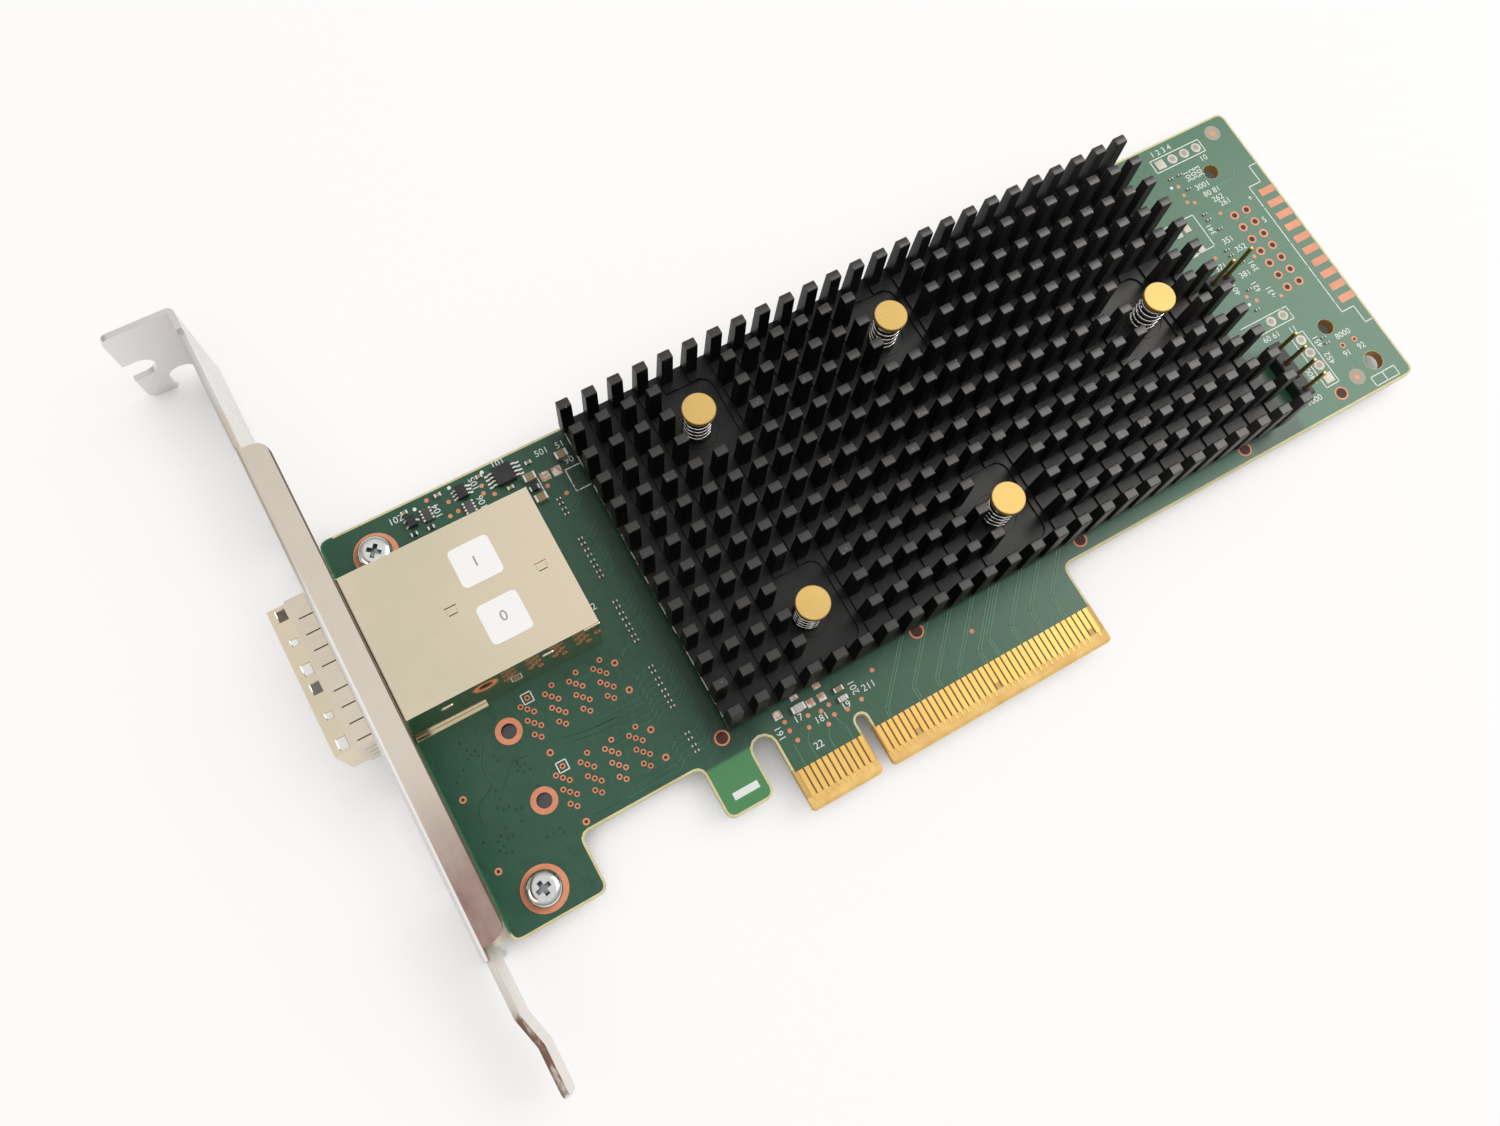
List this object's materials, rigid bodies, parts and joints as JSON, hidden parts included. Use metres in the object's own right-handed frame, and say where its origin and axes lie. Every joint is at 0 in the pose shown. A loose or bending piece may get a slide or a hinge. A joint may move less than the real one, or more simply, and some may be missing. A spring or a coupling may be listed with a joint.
{
  "type": "host bus adapter",
  "caption": "Low-profile expansion card with an edge connector, a twin shielded port cage on a full-height slot bracket and a broad pin-fin heat sink held by sprung push pins.",
  "frame": {"origin": "centre of the key notch of the edge connector, on the connector's lower edge and on the component face of the board", "axes": "+X along the card away from the bracket, +Y up the card away from the edge connector, +Z out of the component face; the card lies flat with its components up"},
  "size_m": [0.1805, 0.1201, 0.0184],
  "materials": {
    "board": "satin solder mask",
    "gold": "gold plated",
    "bracket_steel": "nickel plated",
    "screw_steel": "zinc plated",
    "cage_metal": "nickel plated",
    "black_plastic": "matte",
    "label_film": "matte",
    "black_aluminium": "black anodised",
    "chip_substrate": "satin",
    "silicon": "gloss",
    "thermal_pad": "matte",
    "brass": "bright",
    "spring_steel": "bright",
    "chip_plastic": "matte",
    "tin": "tinned",
    "capacitor_ceramic": "satin ceramic",
    "fuse_ceramic": "satin ceramic",
    "network_ceramic": "satin ceramic"
  },
  "bodies": {
    "root": {"circuit_board": "board", "edge_contacts": "gold", "io_bracket": "bracket_steel", "bracket_screws": "screw_steel", "port_cage": "cage_metal", "emi_collar": "cage_metal", "lower_port_socket": "black_plastic", "upper_port_socket": "black_plastic", "lower_port_terminals": "gold", "upper_port_terminals": "gold", "port_labels": "label_film", "heat_sink": "black_aluminium", "controller_substrate": "chip_substrate", "controller_die": "silicon", "thermal_pad": "thermal_pad", "retention_pins": "brass", "retention_springs": "spring_steel", "serial_header_base": "black_plastic", "serial_header_pins": "gold", "jumper_base": "black_plastic", "jumper_pins": "gold", "memory_chip": "chip_plastic", "memory_leads": "tin", "buffer_chip": "chip_plastic", "buffer_leads": "tin", "switch_chip": "chip_plastic", "switch_leads": "tin", "chip_capacitors": "capacitor_ceramic", "chip_resistors": "chip_plastic", "fuses": "fuse_ceramic", "part_terminals": "tin", "resistor_networks": "network_ceramic", "underside_capacitors": "capacitor_ceramic"}
  },
  "joints": []
}
